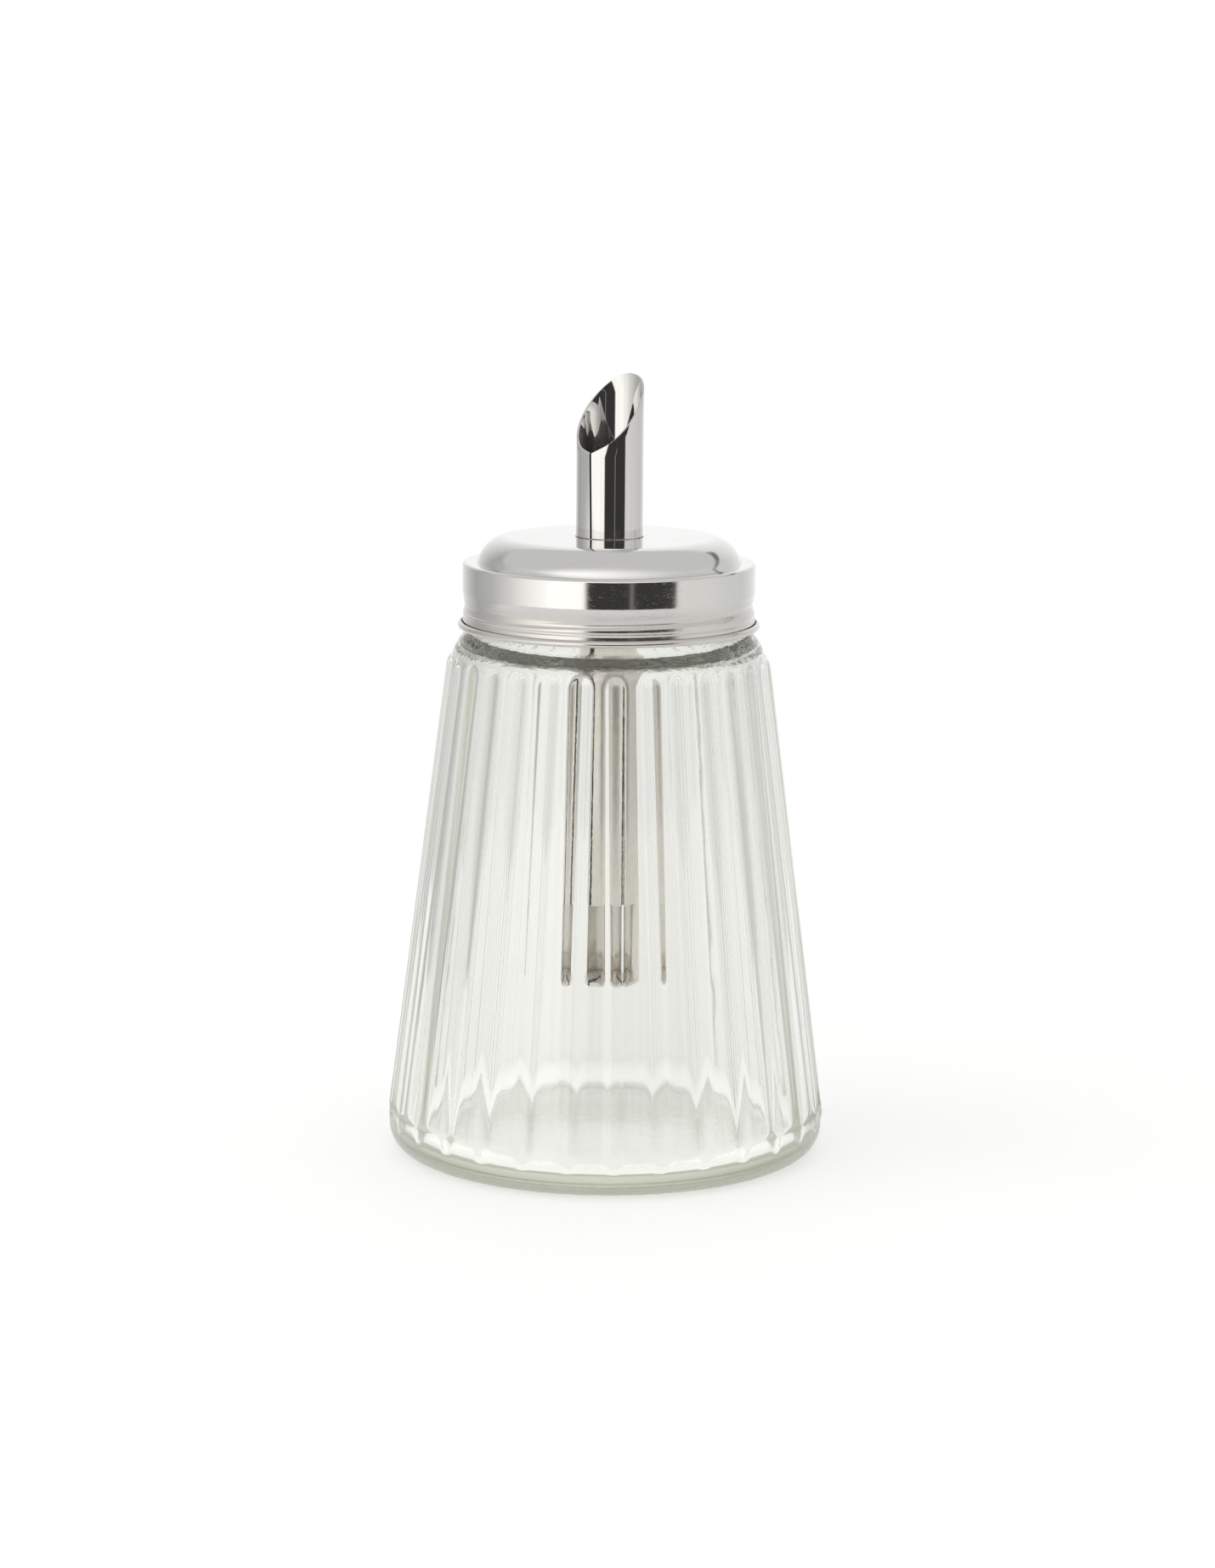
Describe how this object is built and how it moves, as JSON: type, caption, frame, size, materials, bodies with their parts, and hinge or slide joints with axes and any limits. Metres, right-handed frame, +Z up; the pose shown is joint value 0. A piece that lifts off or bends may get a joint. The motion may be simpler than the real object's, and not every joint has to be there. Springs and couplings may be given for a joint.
{
  "type": "sugar dispenser",
  "caption": "Ribbed glass sugar dispenser with a steel screw lid and a slanted, seamed dosing tube that pours one measured dose.",
  "frame": {"origin": "centre of the ring that the jar stands on, in the plane of the table", "axes": "+Z up along the jar and the tube; -Y is the side that the tube's mouth, its seam and its dosing window face"},
  "size_m": [0.0792, 0.0796, 0.1414],
  "materials": {
    "glass": "clear moulded, faintly green",
    "lid_steel": "polished",
    "tube_steel": "polished, with drawing lines along the tube",
    "liner": "matte"
  },
  "bodies": {
    "jar": {"glass_jar": "glass"},
    "liner": {"lid_liner": "liner"},
    "lid": {"lid_cap": "lid_steel", "dosing_tube": "tube_steel", "tube_end_disc": "tube_steel", "tube_collar": "tube_steel"}
  },
  "joints": [
    {"name": "lid_rise", "type": "slide", "parent": "jar", "child": "liner", "axis": [0, 0, 1], "range_m": [0, 0.005]},
    {"name": "lid_turn", "type": "hinge", "parent": "liner", "child": "lid", "pos_m": [0, 0, 0.1063], "axis": [0, 0, 1], "range_deg": [0, 450]}
  ],
  "couplings": [
    {"joint": "lid_rise", "follows": "lid_turn", "m_per_rad": 0.00063661}
  ]
}
